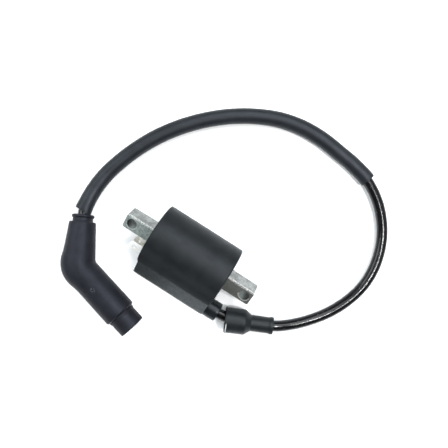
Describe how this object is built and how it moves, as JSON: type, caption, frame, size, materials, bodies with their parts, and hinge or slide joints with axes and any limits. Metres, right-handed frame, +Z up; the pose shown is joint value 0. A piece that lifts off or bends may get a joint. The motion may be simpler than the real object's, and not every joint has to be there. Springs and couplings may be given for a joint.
{
  "type": "ignition coil",
  "caption": "Round potted ignition coil with a laminated core bar drilled at both ends, spade terminals, and a high-tension lead to an elbow plug cap.",
  "frame": {"origin": "middle of the coil's own box, on the surface it lies on (without the lead, boot and plug cap)", "axes": "+Z up from the surface; +X along the core bar towards the high-tension outlet; +Y away from the lobe. The coil lies on its round side and its lobe, so the bolt holes lean 31 degrees from +Z towards -Y"},
  "size_m": [0.1905, 0.1821, 0.0406],
  "materials": {
    "housing_plastic": "satin, fine moulded texture",
    "resin": "poured, slightly glossy",
    "core_steel": "punched edges, dulled",
    "bobbin_plastic": "natural moulded plastic",
    "enamelled_copper": "enamel over copper",
    "film": "amber film",
    "tinned_brass": "tin plate, satin",
    "brass": "turned",
    "boot_rubber": "moulded rubber, matte",
    "lead_jacket": "glossy extruded jacket",
    "conductor_copper": "stranded copper",
    "sleeve_vinyl": "matte extruded sleeve",
    "cap_plastic": "matte moulded plastic",
    "seal_rubber": "moulded rubber, matte",
    "ceramic": "fired ceramic",
    "nickel_plate": "nickel plate",
    "spring_steel": "drawn wire"
  },
  "bodies": {
    "coil": {"housing": "housing_plastic", "potting_resin": "resin", "core_laminations": "core_steel", "primary_bobbin": "bobbin_plastic", "primary_winding": "enamelled_copper", "primary_wrap": "film", "secondary_bobbin": "bobbin_plastic", "secondary_winding": "enamelled_copper", "primary_tails": "enamelled_copper", "feed_terminal": "tinned_brass", "earth_terminal": "tinned_brass", "secondary_leadout": "enamelled_copper", "ht_contact_pin": "brass", "outlet_boot": "boot_rubber", "lead_insulation": "lead_jacket", "lead_conductor": "conductor_copper", "protective_sleeve": "sleeve_vinyl"},
    "plug_cap": {"cap_body": "cap_plastic", "cap_lead_seal": "seal_rubber", "cap_plug_boot": "seal_rubber", "cap_lead_screw": "brass", "cap_resistor": "ceramic", "resistor_end_cups": "nickel_plate", "cap_spring": "spring_steel", "cap_plug_clip": "brass", "clip_snap_ring": "spring_steel"}
  },
  "joints": [
    {"name": "cap_swivel", "type": "hinge", "parent": "coil", "child": "plug_cap", "pos_m": [-0.07096, -0.01549, 0.0084], "axis": [-0.4677, 0.8797, -0.0862], "range_deg": [-180, 180]}
  ]
}
